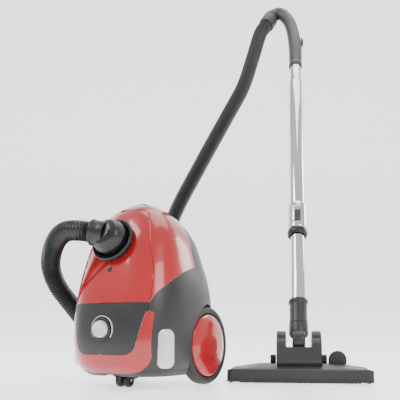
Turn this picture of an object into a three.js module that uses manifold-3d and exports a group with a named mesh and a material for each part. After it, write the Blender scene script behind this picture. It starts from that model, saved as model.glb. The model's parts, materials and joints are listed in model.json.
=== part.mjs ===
// Canister vacuum cleaner with hose, telescopic wand and floor head.
// Millimetres, +Z up. The canister's nose points along -Y, and its own frame has its origin on the
// floor below the middle of the body. The finished group is centred on its footprint.
import * as THREE from 'three';
import { mergeVertices } from 'three/addons/utils/BufferGeometryUtils.js';
import Module from 'manifold-3d';

const wasm = await Module();
wasm.setup();

// ---- driving dimensions ----
const GAP = 0.4; // between pieces that meet
const WALL = 3; // moulded shells
const BODY_HALF_WIDTH = 116;
const BODY_FRONT = 118; // body's middle to the nose at its fullest height
const BODY_REAR = 156; // body's middle to the tail at its fullest height
const BODY_HEIGHT = 352;
const BODY_BOTTOM = 22;
const PLATE_TOP = 34;
const LID_SEAM_Z = 155;
const SOCKET_Z = 0.7614 * BODY_HEIGHT;
const SOCKET_Y = -81;
const SOCKET_RADIUS = 41;
const SOCKET_TILT = THREE.MathUtils.degToRad(24);
const HOSE_RADIUS = 19;
const HOSE_WALL = 1.6;
const HINGE_Y = -34;
const HINGE_Z = 0.949 * BODY_HEIGHT;
const KNOB_RADIUS = 16;
const KNOB_Z = 108;
const PEDAL_Z = 73;
const PEDAL_HALF_WIDTH = 16;
const PEDAL_HALF_HEIGHT = 35;
const PEDAL_ANGLE = THREE.MathUtils.degToRad(57); // from the nose round towards the side
const WHEEL_RADIUS = 77;
const WHEEL_WIDTH = 26;
const WHEEL_FACE_X = BODY_HALF_WIDTH - 10; // outer face of the tyre from the middle plane
const AXLE_Y = 82;
const AXLE_RADIUS = 6;
const CASTER_Y = -60;
const CASTER_RADIUS = 13;
const CASTER_TRAIL = 9;
const MOTOR_RADIUS = 48;
const MOTOR_Z = 150;
const ARMATURE_RADIUS = 22;
const REEL_RADIUS = 43;
const REEL_Z = 246;
const TUBE_RADIUS = 17.5; // upper wand tube, outside
const TUBE_WALL = 1.2;
const TUBE_PLAY = 0.3; // between the two telescopic tubes
const LOWER_TUBE_RADIUS = TUBE_RADIUS - TUBE_WALL - TUBE_PLAY;
const WAND_LEAN = THREE.MathUtils.degToRad(26.4);
const WAND_HEADING = THREE.MathUtils.degToRad(22.5);
const NECK_END = 97; // distances along the wand from the ball's centre
const LOCK_START = 268;
const LOCK_END = 357;
const UPPER_TUBE_END = 763;
const GRIP_START = 824;
const HEAD_WIDTH = 290;
const PIVOT = new THREE.Vector3(HEAD_WIDTH / 2 + 86, 243.5, 84); // centre of the floor head's ball
const BALL_RADIUS = LOWER_TUBE_RADIUS + 8;
const HEAD_FRONT = 68; // ball's centre to the head's front face
const HEAD_BACK = 38;
const HEAD_HEIGHT = 30;
const SIDES = 20;
const SMALLEST = 0.05; // details finer than this are left out

const COLOURS = {
  red: [0xb51a20, 0.22, 0],
  dark: [0x2b2b2d, 0.5, 0],
  black: [0x121213, 0.55, 0],
  silver: [0xd4d2d6, 0.35, 0.2],
  chrome: [0xd8dadd, 0.12, 1],
  steel: [0x9a9da1, 0.4, 1],
  grey: [0x4a4b4e, 0.5, 0],
  paper: [0xd9cdb4, 0.9, 0],
  green: [0x1f5a33, 0.6, 0],
};

const MATERIALS = Object.fromEntries(
  Object.entries(COLOURS).map(([name, [color, roughness, metalness]]) => [
    name,
    new THREE.MeshStandardMaterial({ color, roughness, metalness }),
  ]),
);

// ---- solids ----
function solid(geometry) {
  const bare = geometry.clone();
  bare.deleteAttribute('normal');
  bare.deleteAttribute('uv');
  const merged = mergeVertices(bare, 1e-4);
  const vertProperties = new Float32Array(merged.attributes.position.array);
  const triVerts = new Uint32Array(merged.index.array);
  return new wasm.Manifold(new wasm.Mesh({ numProp: 3, vertProperties, triVerts }));
}

function geometryOf(body) {
  const mesh = body.getMesh();
  const geometry = new THREE.BufferGeometry();
  geometry.setAttribute('position', new THREE.BufferAttribute(mesh.vertProperties, 3));
  geometry.setIndex(new THREE.BufferAttribute(mesh.triVerts, 1));
  geometry.computeVertexNormals();
  return geometry;
}

function box(x0, x1, y0, y1, z0, z1) {
  const geometry = new THREE.BoxGeometry(x1 - x0, y1 - y0, z1 - z0);
  return solid(geometry.translate((x0 + x1) / 2, (y0 + y1) / 2, (z0 + z1) / 2));
}

// Round bar from z0 to z1 on the Z axis.
function bar(radius, z0, z1, sides = SIDES, topRadius = radius) {
  const geometry = new THREE.CylinderGeometry(topRadius, radius, z1 - z0, sides);
  geometry.rotateX(Math.PI / 2);
  return solid(geometry.translate(0, 0, (z0 + z1) / 2));
}

function tube(outer, inner, z0, z1, sides = SIDES) {
  return bar(outer, z0, z1, sides).subtract(bar(inner, z0 - 1, z1 + 1, sides));
}

// Profile of [radius, height] pairs turned about the Z axis.
function turned(profile, sides = SIDES) {
  const points = profile.map(([radius, height]) => new THREE.Vector2(radius, height));
  const geometry = new THREE.LatheGeometry(points, sides);
  geometry.rotateX(Math.PI / 2);
  return solid(geometry);
}

// A solid turned from +Z onto the given direction and carried to a point.
function aimed(body, direction, at) {
  const q = new THREE.Quaternion().setFromUnitVectors(new THREE.Vector3(0, 0, 1), direction);
  const matrix = new THREE.Matrix4().compose(at, q, new THREE.Vector3(1, 1, 1));
  return body.transform(matrix.elements);
}

const X_AXIS = new THREE.Vector3(1, 0, 0);

function along(body, x, y, z, direction = X_AXIS) {
  return aimed(body, direction, new THREE.Vector3(x, y, z));
}

// Flat outline given as [a, b] pairs.
function outline(points) {
  return new THREE.Shape(points.map(([a, b]) => new THREE.Vector2(a, b)));
}

function plate(shape, depth, curveSegments = 8) {
  return solid(new THREE.ExtrudeGeometry(shape, { depth, bevelEnabled: false, curveSegments }));
}

// A prism whose outline is given in the side view as [y, z] and which spans x0 to x1.
function sidePrism(points, x0, x1) {
  const body = plate(outline(points), x1 - x0);
  const matrix = new THREE.Matrix4().makeBasis(
    new THREE.Vector3(0, 1, 0),
    new THREE.Vector3(0, 0, 1),
    new THREE.Vector3(1, 0, 0),
  );
  matrix.setPosition(x0, 0, 0);
  return body.transform(matrix.elements);
}

// A prism whose outline is given in the front view as [x, z] and which spans y0 to y1.
function frontPrism(shape, y0, y1) {
  const body = plate(shape, y1 - y0);
  const matrix = new THREE.Matrix4().makeBasis(
    new THREE.Vector3(1, 0, 0),
    new THREE.Vector3(0, 0, 1),
    new THREE.Vector3(0, -1, 0),
  );
  matrix.setPosition(0, y1, 0);
  return body.transform(matrix.elements);
}

function roundedRectangle(halfWidth, halfHeight, radius) {
  const shape = new THREE.Shape();
  shape.moveTo(-halfWidth + radius, -halfHeight);
  shape.lineTo(halfWidth - radius, -halfHeight);
  shape.absarc(halfWidth - radius, -halfHeight + radius, radius, -Math.PI / 2, 0);
  shape.lineTo(halfWidth, halfHeight - radius);
  shape.absarc(halfWidth - radius, halfHeight - radius, radius, 0, Math.PI / 2);
  shape.lineTo(-halfWidth + radius, halfHeight);
  shape.absarc(-halfWidth + radius, halfHeight - radius, radius, Math.PI / 2, Math.PI);
  shape.lineTo(-halfWidth, -halfHeight + radius);
  shape.absarc(-halfWidth + radius, -halfHeight + radius, radius, Math.PI, Math.PI * 1.5);
  return shape;
}

const group = new THREE.Group();
const canister = new THREE.Group();
const headGroup = new THREE.Group();
const wandGroup = new THREE.Group();

function add(name, body, material, parent = canister) {
  const mesh = new THREE.Mesh(geometryOf(body.simplify(SMALLEST)), MATERIALS[material]);
  mesh.name = name;
  parent.add(mesh);
  return mesh;
}

// ---- body form ----
// Rows of the egg-shaped body: height, half width, front and rear reach as shares of the driving
// dimensions. Between rows the form follows a smooth curve.
const FORM = [
  [BODY_BOTTOM / BODY_HEIGHT, 0.78, 0.72, 0.86],
  [0.085, 0.85, 0.83, 0.92],
  [0.13, 0.92, 0.94, 0.97],
  [0.22, 0.98, 1, 1],
  [0.33, 1, 0.99, 1],
  [0.44, 0.995, 0.94, 0.99],
  [0.56, 0.96, 0.86, 0.95],
  [0.68, 0.88, 0.76, 0.86],
  [0.79, 0.79, 0.64, 0.76],
  [0.875, 0.65, 0.5, 0.62],
  [0.935, 0.48, 0.36, 0.46],
  [0.975, 0.3, 0.2, 0.3],
  [1, 0.08, 0.04, 0.1],
];

function formRows(steps) {
  const curve = new THREE.CatmullRomCurve3(FORM.map(([h, w, f]) => new THREE.Vector3(h, w, f)));
  const rear = new THREE.CatmullRomCurve3(FORM.map(([h, , , r]) => new THREE.Vector3(h, r, 0)));
  const rows = [];
  for (let i = 0; i <= steps; i += 1) {
    const t = i / steps;
    const p = curve.getPoint(t);
    rows.push({ z: p.x * BODY_HEIGHT, half: p.y, front: p.z, rear: rear.getPoint(t).y });
  }
  return rows;
}

// Closed loft of superellipse rows, drawn in by `inset` from the outer skin all round.
function bodyForm(inset, around = 36, steps = 14) {
  const rows = formRows(steps);
  const positions = [];
  rows.forEach((row, i) => {
    const share = i / steps;
    const power = 3 - 0.8 * share;
    const z = THREE.MathUtils.lerp(row.z + inset, row.z - inset, share);
    for (let k = 0; k < around; k += 1) {
      const a = (k / around) * 2 * Math.PI;
      const reach = Math.sin(a) < 0 ? row.front * BODY_FRONT : row.rear * BODY_REAR;
      const x = (row.half * BODY_HALF_WIDTH - inset) * signedPower(Math.cos(a), 2 / power);
      const y = (reach - inset) * signedPower(Math.sin(a), 2 / power);
      positions.push(x, y, z);
    }
  });
  return loft(positions, around, steps + 1);
}

function signedPower(value, power) {
  return Math.sign(value) * Math.abs(value) ** power;
}

// Rows of `around` points each, joined by quads and closed by a fan at each end.
function loft(positions, around, count) {
  const index = [];
  for (let i = 0; i + 1 < count; i += 1) {
    for (let k = 0; k < around; k += 1) {
      const a = i * around + k;
      const b = i * around + ((k + 1) % around);
      index.push(a, b, b + around, a, b + around, a + around);
    }
  }
  for (let k = 1; k + 1 < around; k += 1) {
    index.push(0, k + 1, k);
    const last = (count - 1) * around;
    index.push(last, last + k, last + k + 1);
  }
  const geometry = new THREE.BufferGeometry();
  geometry.setAttribute('position', new THREE.Float32BufferAttribute(positions, 3));
  geometry.setIndex(index);
  return solid(geometry);
}

const outer = bodyForm(0);
const inner = bodyForm(WALL);
const shell = outer.subtract(inner);

// Side-view curves of the seams, [y, z].
const ABOVE = 1.15 * BODY_HEIGHT;
const atShares = (points) => points.map(([y, share]) => [y, share * BODY_HEIGHT]);
const RIDGE_SHARES = [[-75, 0.605], [-65, 0.756], [-48, 0.869], [-35, 0.926]];
const RIDGE = [[-90, LID_SEAM_Z], ...atShares(RIDGE_SHARES), [-35, ABOVE]];
const SKIRT = [[-90, LID_SEAM_Z], ...atShares([[-75, 0.5], [-33, 0.582], [31, 0.645]])];
const REAR_EDGE = [...atShares([[31, 0.645], [31, 0.747], [38, 0.875]]), [34, ABOVE]];

function lidZone(gap) {
  const back = RIDGE.map(([y, z]) => [y - gap, z]);
  return sidePrism([[-160, LID_SEAM_Z + gap], ...back, [-160, ABOVE]], -200, 200);
}

function saddleZone(gap) {
  const low = SKIRT.map(([y, z], i) => [i === 3 ? y - gap : y + 0.3 * gap, z + 1.8 * gap]);
  const rear = REAR_EDGE.slice(1).map(([y, z]) => [y - gap, z]);
  const front = RIDGE.slice(1).reverse().map(([y, z]) => [y + (z > 0.91 * BODY_HEIGHT ? 4 * gap : gap), z]);
  return sidePrism([...low, ...rear, ...front], -200, 200);
}

// ---- canister shells ----
const socketAxis = new THREE.Vector3(0, -Math.cos(SOCKET_TILT), Math.sin(SOCKET_TILT));
const socketAt = new THREE.Vector3(0, SOCKET_Y, SOCKET_Z);

const EYE_Z = SOCKET_Z - SOCKET_RADIUS - 13;

function onSocket(body) {
  return aimed(body, socketAxis, socketAt);
}

const hingeBarrel = along(bar(3, -20, 20, 12), 0, HINGE_Y, HINGE_Z);
const hingeRoom = along(bar(3 + GAP, -20 - GAP, 20 + GAP, 12), 0, HINGE_Y, HINGE_Z);
const hingeBore = along(bar(1.3, -30, 30, 10), 0, HINGE_Y, HINGE_Z);

function makeLid() {
  const skin = shell.intersect(lidZone(GAP));
  const holed = skin.subtract(onSocket(bar(SOCKET_RADIUS - 3, -30, 40)));
  const eye = along(bar(5, -30, 30, 16), 0, SOCKET_Y - 10, EYE_Z, socketAxis);
  const latchRoom = box(-14, 14, -130, -88, LID_SEAM_Z - 1, LID_SEAM_Z + 11);
  add('lid', holed.subtract(eye).subtract(latchRoom).add(hingeBarrel).subtract(hingeBore), 'red');
  add('lid_hinge_pin', along(bar(1.1, -19, 19, 10), 0, HINGE_Y, HINGE_Z), 'steel');
  const lens = along(bar(4.6, 2, 7, 16), 0, SOCKET_Y - 10, EYE_Z, socketAxis);
  add('bag_full_indicator', lens, 'black');
  const latch = outer.intersect(box(-13.6, 13.6, -130, -102, LID_SEAM_Z + GAP, LID_SEAM_Z + 10.6));
  add('lid_latch', latch, 'red');
}

const KNOB_Y = -BODY_FRONT;
const panelOutline = new THREE.Shape();
panelOutline.moveTo(-60, 46);
panelOutline.absarc(-40, 66, 22, Math.PI * 1.25, Math.PI * 1.5);
panelOutline.lineTo(40, 44);
panelOutline.absarc(40, 66, 22, -Math.PI / 2, -Math.PI / 4);
panelOutline.lineTo(69, 76);
panelOutline.lineTo(82, 131);
panelOutline.lineTo(85, LID_SEAM_Z - 0.5);
panelOutline.lineTo(-85, LID_SEAM_Z - 0.5);
panelOutline.lineTo(-82, 131);
panelOutline.lineTo(-69, 76);

function trimOutline() {
  const shape = new THREE.Shape();
  shape.moveTo(-92, 131);
  shape.lineTo(-88, 60);
  shape.quadraticCurveTo(-80, 30, -40, 28);
  shape.lineTo(40, 28);
  shape.quadraticCurveTo(80, 30, 88, 60);
  shape.lineTo(92, 131);
  shape.quadraticCurveTo(92, 140, 86, 140);
  shape.quadraticCurveTo(80, 140, 79, 131);
  shape.lineTo(67, 80);
  shape.quadraticCurveTo(62, 62, 40, 62);
  shape.lineTo(-40, 62);
  shape.quadraticCurveTo(-62, 62, -67, 80);
  shape.lineTo(-79, 131);
  shape.quadraticCurveTo(-80, 140, -86, 140);
  shape.quadraticCurveTo(-92, 140, -92, 131);
  return shape;
}

const trimZone = frontPrism(trimOutline(), -140, -40);
const trimRoom = frontPrism(trimOutline(), -140, -40 + GAP);

// A pedal on a front corner is a tall rounded lozenge facing outwards and forwards.
const acrossShare = Math.sin(PEDAL_ANGLE) / (0.985 * BODY_HALF_WIDTH);
const forwardShare = Math.cos(PEDAL_ANGLE) / BODY_FRONT;
const pedalReach = (acrossShare ** 2.75 + forwardShare ** 2.75) ** (-1 / 2.75) - 1.6;

function pedalFrame(side) {
  const facing = new THREE.Vector3(side * Math.sin(PEDAL_ANGLE), -Math.cos(PEDAL_ANGLE), 0);
  const up = new THREE.Vector3(0, 0, 1);
  const across = new THREE.Vector3().crossVectors(up, facing);
  const matrix = new THREE.Matrix4().makeBasis(across, up, facing);
  matrix.setPosition(facing.x * pedalReach, facing.y * pedalReach, PEDAL_Z);
  return { matrix, facing };
}

function pedalBlock(side, halfWidth, halfHeight, from, to) {
  const block = plate(roundedRectangle(halfWidth, halfHeight, halfWidth * 0.8), to - from);
  return block.translate(0, 0, from).transform(pedalFrame(side).matrix.elements);
}

function makePedals() {
  for (const [side, name] of [[1, 'power_pedal'], [-1, 'rewind_pedal']]) {
    const cap = pedalBlock(side, PEDAL_HALF_WIDTH, PEDAL_HALF_HEIGHT, -8, 2)
      .add(pedalBlock(side, PEDAL_HALF_WIDTH - 6, PEDAL_HALF_HEIGHT - 8, 1, 4));
    add(name, cap, 'silver');
    const coil = tube(6, 4, -15, -8 - GAP, 12).transform(pedalFrame(side).matrix.elements);
    add(`${name}_spring`, coil, 'steel');
  }
}

// Each rear wheel turns in a shallow arch; its cup is the casing's wall round the arch.
function wheelWell(side, radius, from) {
  const well = along(bar(radius, from, 40, 36), 0, AXLE_Y, WHEEL_RADIUS, new THREE.Vector3(side, 0, 0));
  return well.translate(side * (WHEEL_FACE_X - WHEEL_WIDTH - 3), 0, 0);
}

const ARCH_RADIUS = WHEEL_RADIUS + 5;
const arches = [1, -1].map((side) => wheelWell(side, ARCH_RADIUS, -1));

function makeCasing() {
  const upper = box(-200, 200, -200, 200, PLATE_TOP + GAP, ABOVE);
  let casing = shell.intersect(upper).subtract(lidZone(0)).subtract(saddleZone(0));
  casing = casing.subtract(trimRoom).subtract(frontPrism(panelOutline, -150, -60));
  for (const side of [1, -1]) {
    casing = casing.subtract(pedalBlock(side, PEDAL_HALF_WIDTH + GAP, PEDAL_HALF_HEIGHT + GAP, -30, 20));
    const ledge = pedalBlock(side, PEDAL_HALF_WIDTH + 4, PEDAL_HALF_HEIGHT + 4, -19, -15 - GAP);
    casing = casing.add(ledge.intersect(outer).intersect(upper));
  }
  for (const side of [1, -1]) {
    casing = casing.add(wheelWell(side, ARCH_RADIUS + WALL, -1 - WALL).intersect(outer).intersect(upper));
  }
  for (const arch of arches) {
    casing = casing.subtract(arch);
  }
  for (const side of [1, -1]) {
    const bore = along(bar(AXLE_RADIUS + 0.3, -50, 50, 16), side * 70, AXLE_Y, WHEEL_RADIUS);
    casing = casing.subtract(bore);
  }
  const grille = box(-40, 40, 90, 200, 110, 200);
  casing = casing.subtract(grille).subtract(hingeRoom);
  casing = casing.subtract(along(bar(9, 60, 200, 16), 60, 0, 70, new THREE.Vector3(0, 1, 0)));
  casing = largest(casing);
  add('casing', casing, 'dark');
  const pan = outer.intersect(box(-200, 200, -200, 200, 0, PLATE_TOP));
  let base = pan.subtract(inner.intersect(box(-200, 200, -200, 200, BODY_BOTTOM + 4, 60)));
  base = base.subtract(trimRoom);
  for (const arch of arches) {
    base = base.subtract(arch);
  }
  const well = bar(31, 0, 60, 28).translate(0, CASTER_Y, 0);
  const roof = tube(32, 7.4, PLATE_TOP - 5, PLATE_TOP, 28).translate(0, CASTER_Y, 0);
  base = base.subtract(well).add(roof);
  add('base_pan', largest(base), 'dark');
}

function largest(body) {
  const pieces = body.decompose();
  pieces.sort((a, b) => b.volume() - a.volume());
  return pieces[0];
}

function makeFront() {
  const floor = box(-200, 200, -200, 200, PLATE_TOP + GAP, ABOVE);
  let trim = shell.intersect(trimZone);
  for (const side of [1, -1]) {
    trim = trim.subtract(pedalBlock(side, PEDAL_HALF_WIDTH + 4, PEDAL_HALF_HEIGHT + 4, -30, 20));
  }
  add('front_trim', largest(trim), 'red');
  const panelZone = plateGap(panelOutline, 0.985);
  let panel = shell.intersect(panelZone).intersect(floor).subtract(trimRoom);
  panel = panel.subtract(along(bar(6.4, -60, 60, 16), 0, -80, KNOB_Z, new THREE.Vector3(0, 1, 0)));
  add('control_panel', largest(panel), 'dark');
  const back = new THREE.Vector3(0, -1, 0);
  const ring = tube(KNOB_RADIUS + 5, KNOB_RADIUS + 0.6, 0, 3, 28);
  add('knob_ring', along(ring, 0, KNOB_Y - GAP - 0.4, KNOB_Z, back), 'black');
  let knob = bar(KNOB_RADIUS, 1, 9, 28, KNOB_RADIUS - 2).add(bar(6, -12, 2, 16));
  knob = knob.subtract(box(-1.2, 1.2, 8, 20, 8, 12));
  add('power_knob', along(knob, 0, KNOB_Y - GAP, KNOB_Z, back), 'silver');
}

function plateGap(shape, share) {
  const body = frontPrism(shape, -150, -60);
  return body.translate(0, 0, -90).scale([share, 1, share]).translate(0, 0, 90);
}

const POCKET_Z = 0.952 * BODY_HEIGHT;

function makeSaddle() {
  const pocket = box(-34, 34, -14, 30, POCKET_Z, ABOVE);
  const floor = outer.intersect(box(-36, 36, -16, 32, POCKET_Z - WALL, POCKET_Z));
  let saddle = shell.intersect(saddleZone(GAP)).subtract(hingeRoom).subtract(pocket);
  saddle = saddle.add(floor.intersect(outer));
  add('top_cover', largest(saddle), 'red');
  const bridge = outer.intersect(box(-32, 32, -2, 16, POCKET_Z + GAP, ABOVE));
  const finger = along(bar(11, -25, 25, 20), 0, 7, POCKET_Z);
  const handle = bridge.subtract(finger);
  add('carry_handle', largest(handle), 'dark');
}

function makeSocket() {
  const r = SOCKET_RADIUS;
  const ring = turned([
    [r - 5, -4], [r + 0.5, 0], [r + 2, 6], [r - 1, 8], [r - 4, 7], [r - 8, 2], [r - 8, -4], [r - 5, -4],
  ]);
  add('hose_socket', onSocket(ring.translate(0, 0, 6)), 'black');
  const spigot = tube(r - 9.5, r - 14, -6, 10);
  const dome = turned([
    [r - 14, 10], [r - 9, 10], [r - 11, 22], [r - 21, 32], [0, 36],
    [0, 31], [r - 24, 28], [r - 14, 19], [r - 14, 10],
  ]);
  const arm = aimed(bar(HOSE_RADIUS + 4, 0, 30, 24), elbowAim, new THREE.Vector3(0, 0, 16));
  const hollow = aimed(bar(HOSE_RADIUS, 6, 60, 24), elbowAim, new THREE.Vector3(0, 0, 16));
  const ringRoom = tube(r + 3, r - 8 - GAP, -14, 5 + GAP, 24);
  const elbow = spigot.add(dome).add(arm).subtract(hollow).subtract(ringRoom);
  const core = bar(r - 15, -8, 20, 24);
  add('hose_elbow', onSocket(largest(elbow.subtract(core)).translate(0, 0, 9)), 'black');
}

const elbowAim = new THREE.Vector3(-0.94, 0.05, 0.34).normalize();

// ---- running gear ----
function makeWheels() {
  for (const [side, name] of [[1, 'right'], [-1, 'left']]) {
    const out = new THREE.Vector3(side, 0, 0);
    const face = side * (WHEEL_FACE_X - WHEEL_WIDTH);
    const tyre = turned([
      [AXLE_RADIUS + 0.3, 0], [WHEEL_RADIUS - 6, 0], [WHEEL_RADIUS, 6], [WHEEL_RADIUS, WHEEL_WIDTH - 7],
      [WHEEL_RADIUS - 5, WHEEL_WIDTH], [WHEEL_RADIUS - 13, WHEEL_WIDTH - 1],
      [WHEEL_RADIUS - 15, WHEEL_WIDTH - 6], [AXLE_RADIUS + 0.3, WHEEL_WIDTH - 6], [AXLE_RADIUS + 0.3, 0],
    ], 30);
    add(`wheel_${name}`, along(tyre, face, AXLE_Y, WHEEL_RADIUS, out), 'black');
    const cap = turned([
      [0, WHEEL_WIDTH - 5], [WHEEL_RADIUS - 15.5, WHEEL_WIDTH - 5], [WHEEL_RADIUS - 15.5, WHEEL_WIDTH],
      [WHEEL_RADIUS * 0.5, WHEEL_WIDTH + 5], [0, WHEEL_WIDTH + 7],
    ], 30);
    add(`hub_cover_${name}`, along(cap, face, AXLE_Y, WHEEL_RADIUS, out), 'red');
    const axle = bar(AXLE_RADIUS, -14, WHEEL_WIDTH - 6.5, 16).add(bar(9, -14, -9, 16));
    add(`axle_${name}`, along(axle, face, AXLE_Y, WHEEL_RADIUS, out), 'steel');
  }
}

function makeCaster() {
  const z = CASTER_RADIUS;
  const y = CASTER_Y + CASTER_TRAIL;
  const crown = bar(12, 2 * z + 0.8, PLATE_TOP - 5 - GAP, 20);
  const stem = bar(7, 2 * z + 1, PLATE_TOP + 10, 16).add(crown);
  const cheek = box(-3, 3, CASTER_Y - 8, y + 6, z - 5, 2 * z + 1.5);
  const fork = stem.translate(0, CASTER_Y, 0).add(cheek);
  add('caster_fork', fork.subtract(along(bar(2.45, -9, 9, 12), 0, y, z)), 'dark');
  add('caster_axle', along(bar(2.4, -15, 15, 12), 0, y, z), 'steel');
  for (const [side, name] of [[1, 'right'], [-1, 'left']]) {
    const roll = tube(z, 2.6, 0, 10, 24);
    add(`caster_wheel_${name}`, along(roll, side > 0 ? 4 : -14, y, z), 'black');
  }
}

// ---- inside the body ----
function makeInside() {
  add('bulkhead', inner.intersect(box(-200, 200, 4, 7, 60, 300)).intersect(box(-65, 65, -50, 50, 60, 300))
    .subtract(along(bar(30, -40, 40, 24), 0, 5, 190, new THREE.Vector3(0, 1, 0))), 'grey');
  const bag = turned([[0, 60], [34, 64], [48, 90], [50, 150], [42, 190], [24, 206], [0, 208]], 24);
  add('dust_bag', bag.scale([1.3, 0.62, 1]).translate(0, -42, 0), 'paper');
  const cardboard = tube(SOCKET_RADIUS + 3, SOCKET_RADIUS - 15, -20, -17, 24);
  add('bag_holder', onSocket(cardboard), 'green');
  const back = new THREE.Vector3(0, 1, 0);
  const can = tube(MOTOR_RADIUS, MOTOR_RADIUS - WALL, 0, 62).add(tube(MOTOR_RADIUS, 12, 62, 65));
  const stator = tube(MOTOR_RADIUS - WALL + 1, ARMATURE_RADIUS + 4, 16, 54);
  add('motor_housing', along(can.add(stator), 0, 22, MOTOR_Z, back), 'steel');
  const fan = tube(40, 4.6, 4, 12, 28);
  add('fan', along(fan, 0, 22, MOTOR_Z, back), 'steel');
  add('motor_armature', along(bar(4.2, 1, 70, 14).add(bar(ARMATURE_RADIUS, 20, 50, 20)), 0, 22, MOTOR_Z, back), 'steel');
  add('motor_filter', box(-40, 40, 9, 15, 150, 240), 'green');
  const reel = tube(26, 8.4, 2, 30, 24).add(tube(REEL_RADIUS, 8.4, 0, 2, 32));
  add('cord_reel', along(reel.add(tube(REEL_RADIUS, 8.4, 30, 32, 32)), 0, 28, REEL_Z, back), 'grey');
  add('circuit_board', box(-36, 36, -104, -102, 84, 130), 'green');
  const grille = box(-38, 38, 90, 200, 112, 198).intersect(outer).subtract(bodyForm(WALL - 0.6));
  let vent = grille;
  for (let z = 120; z < 192; z += 10) {
    vent = vent.subtract(box(-33, 33, 90, 200, z, z + 5));
  }
  add('exhaust_grille', largest(vent), 'black');
  add('exhaust_filter', box(-36, 36, 118, 124, 114, 196), 'green');
  const gland = tube(8.6, 4.5, 0, 14, 16);
  add('cord_gland', along(gland, 60, 126, 70, back), 'black');
}

// ---- wand: its own Z runs up the tube from the centre of the floor head's ball ----
const HANDLE_LINE = [
  [0, GRIP_START + 1], [0, 895], [-5, 955], [-15, 1005], [-32, 1040], [-50, 1050], [-66, 1036],
];
const COLLAR_TOP = [-66, 1036];
const COLLAR_AIM = new THREE.Vector3(-0.42, 0, -0.91).normalize();

function makeHandle() {
  const line = new THREE.CatmullRomCurve3(HANDLE_LINE.map(([x, z]) => new THREE.Vector3(x, 0, z)));
  const section = new THREE.Shape();
  section.absellipse(0, 0, 18, 18, 0, Math.PI * 2);
  const sweep = { steps: 16, curveSegments: 5, bevelEnabled: false, extrudePath: line };
  const skin = solid(new THREE.ExtrudeGeometry(section, sweep));
  const bore = new THREE.Shape();
  bore.absellipse(0, 0, 15, 15, 0, Math.PI * 2);
  const air = solid(new THREE.ExtrudeGeometry(bore, { ...sweep, extrudePath: stretched(line) }));
  const slot = box(15.5, 30, -7, 7, 905, 962);
  const slider = box(16, 19.5, -6.5, 6.5, 907, 935).add(box(19, 22, -6.5, 6.5, 912, 930));
  add('suction_slider', slider, 'black', wandGroup);
  const at = new THREE.Vector3(COLLAR_TOP[0], 0, COLLAR_TOP[1]).addScaledVector(COLLAR_AIM, 1);
  const spigot = aimed(tube(HOSE_RADIUS - GAP, 15, -6, 30, 24), COLLAR_AIM, at);
  add('handle_grip', largest(skin.subtract(air).subtract(slot).add(spigot)), 'grey', wandGroup);
  const h = HOSE_RADIUS;
  const collar = turned([
    [h + 2, 6.5], [h + 3, 9], [h + 3, 34], [h + 1.5, 37], [h + GAP, 37], [h + GAP, 6.5], [h + 2, 6.5],
  ]);
  add('hose_collar', aimed(collar, COLLAR_AIM, at), 'grey', wandGroup);
}

// The same line run on past both ends, so that a bore along it comes out.
function stretched(line) {
  const points = line.getPoints(12);
  const first = points[0].clone().addScaledVector(line.getTangent(0), -6);
  const last = points[points.length - 1].clone().addScaledVector(line.getTangent(1), 6);
  return new THREE.CatmullRomCurve3([first, ...points, last]);
}

function makeTubes() {
  const inside = TUBE_RADIUS - TUBE_WALL;
  const spigotTop = tube(14.8, 13.2, UPPER_TUBE_END - 20, GRIP_START + 0.5, 24);
  const shoulder = tube(inside - GAP, 13.2, UPPER_TUBE_END - 20, UPPER_TUBE_END - 2, 24);
  add('wand_spigot', spigotTop.add(shoulder), 'chrome', wandGroup);
  add('upper_tube', tube(TUBE_RADIUS, inside, LOCK_START + 12, UPPER_TUBE_END), 'chrome', wandGroup);
  const t = TUBE_RADIUS;
  const bore = t + GAP;
  const sleeve = turned([
    [bore, LOCK_START + 16], [t + 3.5, LOCK_START + 16], [t + 4.5, LOCK_START + 24],
    [t + 4.5, LOCK_END - 10], [t + 2, LOCK_END], [bore, LOCK_END], [bore, LOCK_START + 16],
  ]);
  const window = box(-8, 8, -t - 12, -t - 2.1, LOCK_START + 30, LOCK_START + 74);
  add('lock_sleeve', sleeve.subtract(window), 'chrome', wandGroup);
  const button = box(-7.5, 7.5, -t - 7.5, -t - 2.5, LOCK_START + 31, LOCK_START + 60);
  add('lock_button', button, 'grey', wandGroup);
  const ring = turned([
    [bore, LOCK_START], [t + 4.5, LOCK_START], [t + 5.5, LOCK_START + 4], [t + 5.5, LOCK_START + 13],
    [t + 3.5, LOCK_START + 15.5], [bore, LOCK_START + 15.5], [bore, LOCK_START],
  ]);
  add('lock_ring', ring, 'black', wandGroup);
  const r = LOWER_TUBE_RADIUS;
  let lower = tube(r, r - TUBE_WALL, 50, LOCK_END + 175);
  for (let i = 0; i < 4; i += 1) {
    const z = LOCK_START - 17 - i * 26;
    lower = lower.subtract(box(-5, 3, -r - 4, -r + 0.6, z - 7, z + 7));
  }
  add('lower_tube', lower, 'chrome', wandGroup);
}

function makeNeck() {
  const r = LOWER_TUBE_RADIUS;
  const neck = turned([
    [r + GAP, 40], [r + 4, 40], [r + 2.6, 55], [r + 2.6, 88], [r + 5, 91], [r + 5, NECK_END],
    [r + GAP, NECK_END], [r + GAP, 40],
  ]);
  add('neck_tube', neck, 'dark', wandGroup);
  const cuff = tube(r + 4, r - 0.8, 22, 39.5);
  const ball = along(bar(BALL_RADIUS, -13, 13, 32), 0, 0, 0);
  const bore = bar(14, -8, 60, 24).add(along(bar(14, -30, 30, 24), 0, 0, 0).scale([0.4, 1, 1]));
  add('neck_elbow', largest(ball.add(cuff).subtract(bore)), 'dark', wandGroup);
}

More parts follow.
